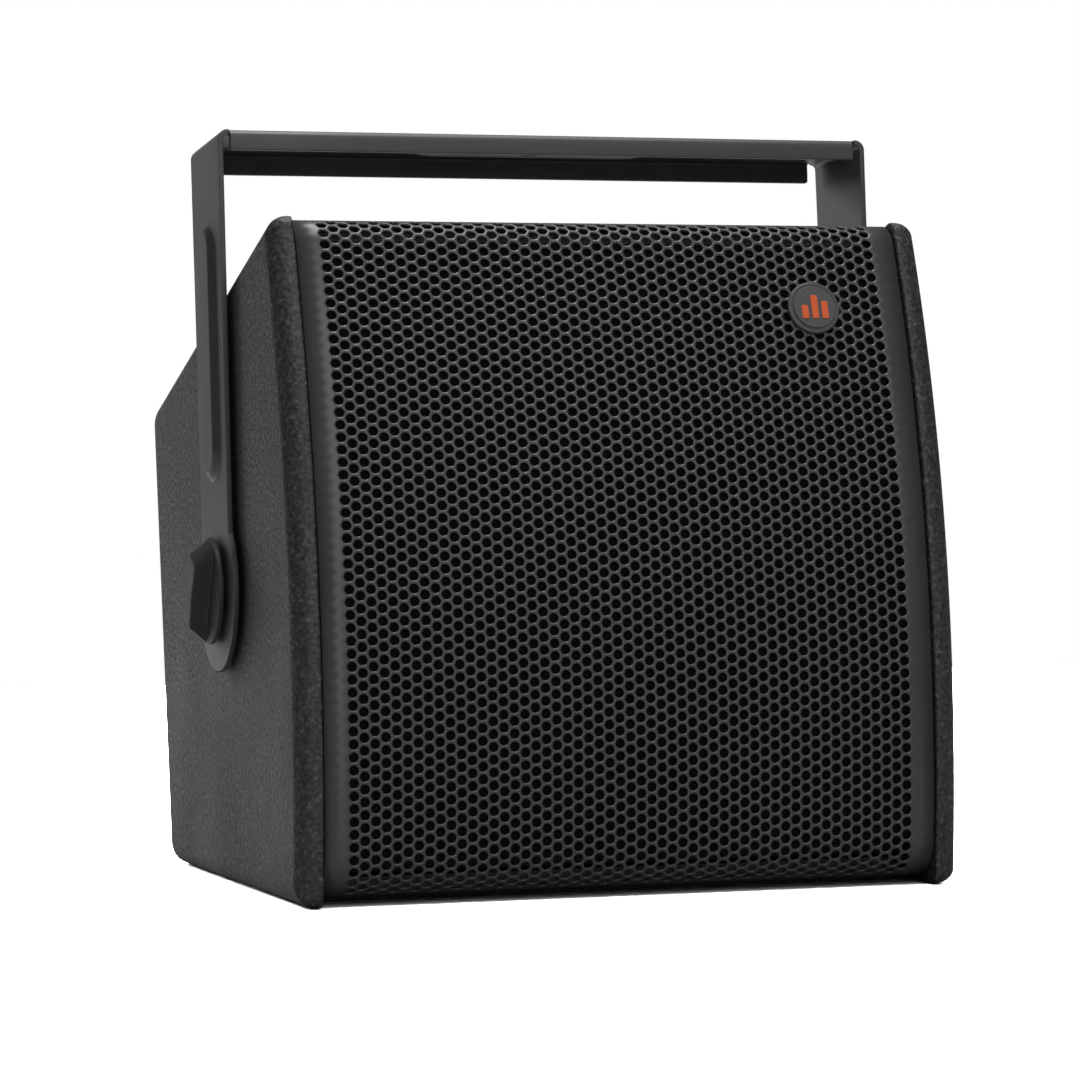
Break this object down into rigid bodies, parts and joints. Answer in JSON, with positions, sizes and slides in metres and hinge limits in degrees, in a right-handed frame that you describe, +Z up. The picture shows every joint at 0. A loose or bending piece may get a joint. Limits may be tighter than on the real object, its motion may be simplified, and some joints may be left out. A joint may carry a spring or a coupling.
{
  "type": "stage monitor loudspeaker",
  "caption": "Compact stage monitor: tapered plywood cabinet with a curved perforated grille, coaxial driver, U-shaped steel yoke and clamping side knobs.",
  "frame": {"origin": "on the floor under the cabinet, midway between its sides, straight below the axis that the yoke turns on", "axes": "+X along the yoke's axis, to the right seen from the front; +Y rearwards, so the grille faces -Y; +Z up"},
  "size_m": [0.4296, 0.3829, 0.4355],
  "materials": {
    "textured_paint": "hard textured black paint on birch plywood",
    "powder_coat": "satin black powder coat on steel",
    "acoustic_foam": "open-cell black foam",
    "badge_plastic": "satin dark grey plastic",
    "badge_orange": "orange print",
    "birch_plywood": "bare birch plywood",
    "moulded_plastic": "satin black moulded plastic",
    "cast_alloy": "black painted casting",
    "soft_rubber": "matt black rubber",
    "cone_fibre": "pressed paper fibre",
    "copper_wire": "enamelled copper winding",
    "spider_cloth": "resin-treated cloth",
    "zinc_steel": "zinc plated steel",
    "ferrite": "sintered ferrite",
    "circuit_board": "lacquered board",
    "film_capacitor": "wrapped film capacitor"
  },
  "bodies": {
    "cabinet": {"back_plate": "zinc_steel", "badge_disc": "badge_plastic", "badge_mark": "badge_orange", "bottom_panel": "textured_paint", "capacitor_1": "film_capacitor", "capacitor_2": "film_capacitor", "connector_dish": "moulded_plastic", "crossover_board": "circuit_board", "damping_pad": "acoustic_foam", "dish_screw_1": "zinc_steel", "dish_screw_2": "zinc_steel", "dish_screw_3": "zinc_steel", "dish_screw_4": "zinc_steel", "driver_lead": "soft_rubber", "driver_screw_1": "zinc_steel", "driver_screw_2": "zinc_steel", "driver_screw_3": "zinc_steel", "driver_screw_4": "zinc_steel", "front_baffle": "birch_plywood", "grille": "powder_coat", "grille_foam": "acoustic_foam", "grille_screw_1": "zinc_steel", "grille_screw_2": "zinc_steel", "grille_screw_3": "zinc_steel", "grille_screw_4": "zinc_steel", "hf_diaphragm": "copper_wire", "hf_magnet": "ferrite", "hf_rear_cover": "moulded_plastic", "horn_flare": "moulded_plastic", "inductor_1": "copper_wire", "inductor_2": "copper_wire", "input_lead": "soft_rubber", "input_socket": "moulded_plastic", "left_port_tube": "moulded_plastic", "left_side_panel": "textured_paint", "left_spacer": "soft_rubber", "left_threaded_insert": "zinc_steel", "link_socket": "moulded_plastic", "magnet": "ferrite", "rear_panel": "textured_paint", "right_port_tube": "moulded_plastic", "right_side_panel": "textured_paint", "right_spacer": "soft_rubber", "right_threaded_insert": "zinc_steel", "top_panel": "textured_paint", "top_plate": "zinc_steel", "woofer_frame": "cast_alloy", "woofer_gasket": "soft_rubber", "woofer_spider": "spider_cloth", "woofer_surround": "soft_rubber"},
    "yoke": {"yoke": "powder_coat"},
    "left_washer": {"left_knob_washer": "zinc_steel"},
    "left_knob": {"left_knob": "moulded_plastic", "left_knob_stud": "zinc_steel"},
    "right_washer": {"right_knob_washer": "zinc_steel"},
    "right_knob": {"right_knob": "moulded_plastic", "right_knob_stud": "zinc_steel"},
    "cone": {"woofer_cone": "cone_fibre", "voice_coil": "copper_wire"}
  },
  "joints": [
    {"name": "yoke_tilt", "type": "hinge", "parent": "cabinet", "child": "yoke", "pos_m": [0, 0, 0.1704], "axis": [1, 0, 0], "range_deg": [-117, 125]},
    {"name": "left_knob_travel", "type": "slide", "parent": "cabinet", "child": "left_washer", "axis": [-1, 0, 0], "range_m": [0, 0.0031]},
    {"name": "left_knob_turn", "type": "hinge", "parent": "left_washer", "child": "left_knob", "pos_m": [0, 0, 0.1704], "axis": [-1, 0, 0], "range_deg": [0, 720]},
    {"name": "right_knob_travel", "type": "slide", "parent": "cabinet", "child": "right_washer", "axis": [1, 0, 0], "range_m": [0, 0.0031]},
    {"name": "right_knob_turn", "type": "hinge", "parent": "right_washer", "child": "right_knob", "pos_m": [0, 0, 0.1704], "axis": [1, 0, 0], "range_deg": [0, 720]},
    {"name": "cone_travel", "type": "slide", "parent": "cabinet", "child": "cone", "axis": [0, -0.9901, 0.1404], "range_m": [-0.004, 0.004], "stiffness_N_per_m": 5000}
  ],
  "couplings": [
    {"joint": "left_knob_travel", "follows": "left_knob_turn", "m_per_rad": 0.00023873},
    {"joint": "right_knob_travel", "follows": "right_knob_turn", "m_per_rad": 0.00023873}
  ]
}
